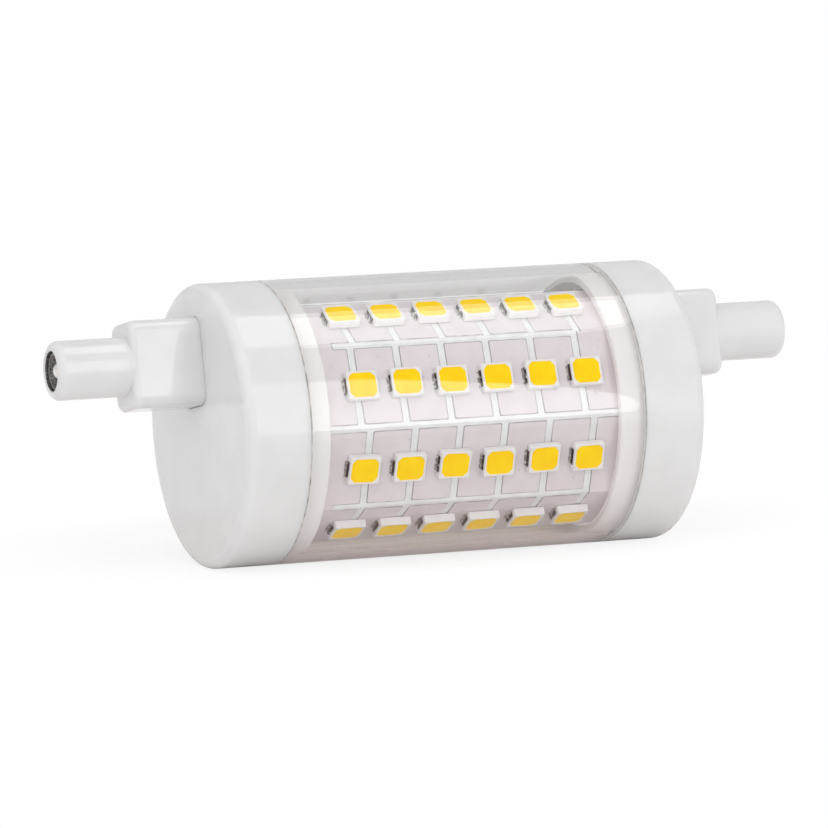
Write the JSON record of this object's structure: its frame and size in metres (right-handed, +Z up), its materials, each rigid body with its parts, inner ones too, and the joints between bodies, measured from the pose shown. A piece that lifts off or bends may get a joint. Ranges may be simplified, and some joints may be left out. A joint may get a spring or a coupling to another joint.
{
  "type": "linear led lamp",
  "caption": "Double-ended linear LED lamp: a clear tube between white end caps, rows of LEDs on a folded board inside, and an off-axis base with a dished contact at each end.",
  "frame": {"origin": "the middle of the tube's axis, half way between the two tips", "axes": "+X along the lamp from the left tip to the right tip, +Z up as the lamp lies in the picture, with the bases above the axis and leaning back from +Z by 13.6 degrees"},
  "size_m": [0.0776, 0.028, 0.028],
  "materials": {
    "clear_tube": "clear, polished",
    "white_cap": "white, satin gloss moulding",
    "white_base": "white, satin gloss moulding",
    "contact_metal": "plated, turned",
    "led_board": "white solder mask over copper islands",
    "led_housing": "white moulding",
    "led_phosphor": "yellow phosphor in clear silicone",
    "led_lead": "tinned, tarnished",
    "driver_board": "green solder mask",
    "capacitor_sleeve": "black shrink sleeve",
    "ferrite": "dark grey, as pressed",
    "copper_winding": "enamelled copper",
    "resistor_coat": "blue-grey coat",
    "chip_mould": "black moulding compound",
    "white_insulation": "white wire insulation",
    "red_insulation": "red wire insulation",
    "black_insulation": "black wire insulation"
  },
  "bodies": {
    "root": {"clear_tube": "clear_tube", "led_board": "led_board", "driver_board": "driver_board", "input_capacitor": "capacitor_sleeve", "output_capacitor": "capacitor_sleeve", "choke_core": "ferrite", "choke_winding": "copper_winding", "fusible_resistor": "resistor_coat", "bridge_rectifier": "chip_mould", "control_chip": "chip_mould", "output_diode": "chip_mould", "led_feed_wire_plus": "red_insulation", "led_feed_wire_minus": "black_insulation", "left_end_cap": "white_cap", "left_base": "white_base", "left_contact": "contact_metal", "left_contact_wire": "white_insulation", "right_end_cap": "white_cap", "right_base": "white_base", "right_contact": "contact_metal", "right_contact_wire": "white_insulation", "led_housings_row_1": "led_housing", "led_phosphors_row_1": "led_phosphor", "led_leads_row_1": "led_lead", "led_housings_row_2": "led_housing", "led_phosphors_row_2": "led_phosphor", "led_leads_row_2": "led_lead", "led_housings_row_3": "led_housing", "led_phosphors_row_3": "led_phosphor", "led_leads_row_3": "led_lead", "led_housings_row_4": "led_housing", "led_phosphors_row_4": "led_phosphor", "led_leads_row_4": "led_lead", "led_housings_row_5": "led_housing", "led_phosphors_row_5": "led_phosphor", "led_leads_row_5": "led_lead", "led_housings_row_6": "led_housing", "led_phosphors_row_6": "led_phosphor", "led_leads_row_6": "led_lead", "led_housings_row_7": "led_housing", "led_phosphors_row_7": "led_phosphor", "led_leads_row_7": "led_lead", "led_housings_row_8": "led_housing", "led_phosphors_row_8": "led_phosphor", "led_leads_row_8": "led_lead"}
  },
  "joints": []
}
